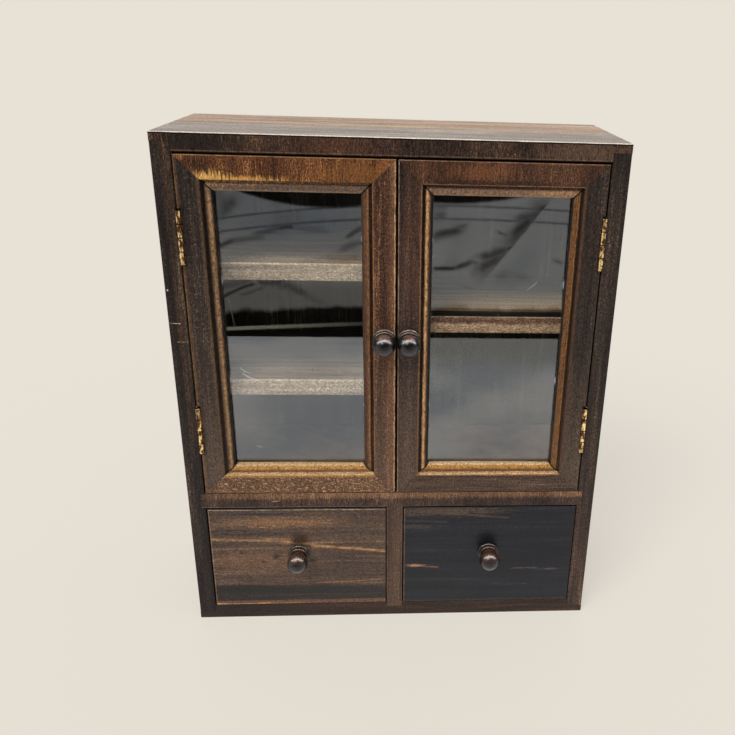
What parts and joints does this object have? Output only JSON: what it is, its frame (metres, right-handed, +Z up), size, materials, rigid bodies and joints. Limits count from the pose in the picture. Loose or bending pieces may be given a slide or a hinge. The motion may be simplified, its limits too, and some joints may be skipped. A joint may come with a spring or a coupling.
{
  "type": "display case",
  "caption": "Small tabletop display case in dark burnt wood, with glazed doors over shelved bays, drawers beneath, turned dark knobs and small brass butt hinges.",
  "frame": {"origin": "centre of the underside of the case boards, on the surface it stands on", "axes": "+Z up, +Y towards the back panel, +X to the right seen from the front"},
  "size_m": [0.3, 0.1328, 0.368],
  "materials": {
    "burnt_board": "satin",
    "burnt_frame": "satin",
    "burnt_black_front": "satin",
    "bare_wood": "matte",
    "thin_panel": "matte",
    "knob_lacquer": "gloss",
    "hinge_brass": "worn",
    "fastener_steel": "plain",
    "clear_glass": "clear",
    "clear_glue": "milky"
  },
  "bodies": {
    "case": {"top_board": "burnt_board", "bottom_board": "burnt_board", "left_side_board": "burnt_board", "right_side_board": "burnt_board", "middle_board": "burnt_board", "partition": "burnt_board", "drawer_divider": "burnt_board", "back_panel": "thin_panel", "back_panel_nails": "fastener_steel", "left_upper_shelf": "bare_wood", "left_lower_shelf": "bare_wood", "right_shelf": "bare_wood", "catch_magnets": "fastener_steel", "left_upper_frame_leaf": "hinge_brass", "left_lower_frame_leaf": "hinge_brass", "right_upper_frame_leaf": "hinge_brass", "right_lower_frame_leaf": "hinge_brass", "left_hinge_pins": "hinge_brass", "right_hinge_pins": "hinge_brass", "frame_leaf_screws": "hinge_brass"},
    "left_door": {"left_door_top_rail": "burnt_frame", "left_door_bottom_rail": "burnt_frame", "left_door_hinge_stile": "burnt_frame", "left_door_meeting_stile": "burnt_frame", "left_door_glass": "clear_glass", "left_door_glass_dabs": "clear_glue", "left_door_knob": "knob_lacquer", "left_door_knob_screw": "fastener_steel", "left_door_strike": "fastener_steel", "left_door_upper_leaf": "hinge_brass", "left_door_lower_leaf": "hinge_brass", "left_door_leaf_screws": "hinge_brass"},
    "right_door": {"right_door_top_rail": "burnt_frame", "right_door_bottom_rail": "burnt_frame", "right_door_hinge_stile": "burnt_frame", "right_door_meeting_stile": "burnt_frame", "right_door_glass": "clear_glass", "right_door_glass_dabs": "clear_glue", "right_door_knob": "knob_lacquer", "right_door_knob_screw": "fastener_steel", "right_door_strike": "fastener_steel", "right_door_upper_leaf": "hinge_brass", "right_door_lower_leaf": "hinge_brass", "right_door_leaf_screws": "hinge_brass"},
    "left_drawer": {"left_drawer_front": "burnt_frame", "left_drawer_left_side": "bare_wood", "left_drawer_right_side": "bare_wood", "left_drawer_back": "bare_wood", "left_drawer_floor": "thin_panel", "left_drawer_knob": "knob_lacquer", "left_drawer_knob_screw": "fastener_steel"},
    "right_drawer": {"right_drawer_front": "burnt_black_front", "right_drawer_left_side": "bare_wood", "right_drawer_right_side": "bare_wood", "right_drawer_back": "bare_wood", "right_drawer_floor": "thin_panel", "right_drawer_knob": "knob_lacquer", "right_drawer_knob_screw": "fastener_steel"}
  },
  "joints": [
    {"name": "left_door_hinge", "type": "hinge", "parent": "case", "child": "left_door", "pos_m": [-0.1364, -0.058, 0.2336], "axis": [0, 0, -1], "range_deg": [0, 180]},
    {"name": "right_door_hinge", "type": "hinge", "parent": "case", "child": "right_door", "pos_m": [0.1364, -0.058, 0.2336], "axis": [0, 0, 1], "range_deg": [0, 180]},
    {"name": "left_drawer_slide", "type": "slide", "parent": "case", "child": "left_drawer", "axis": [0, -1, 0], "range_m": [0, 0.085]},
    {"name": "right_drawer_slide", "type": "slide", "parent": "case", "child": "right_drawer", "axis": [0, -1, 0], "range_m": [0, 0.085]}
  ]
}
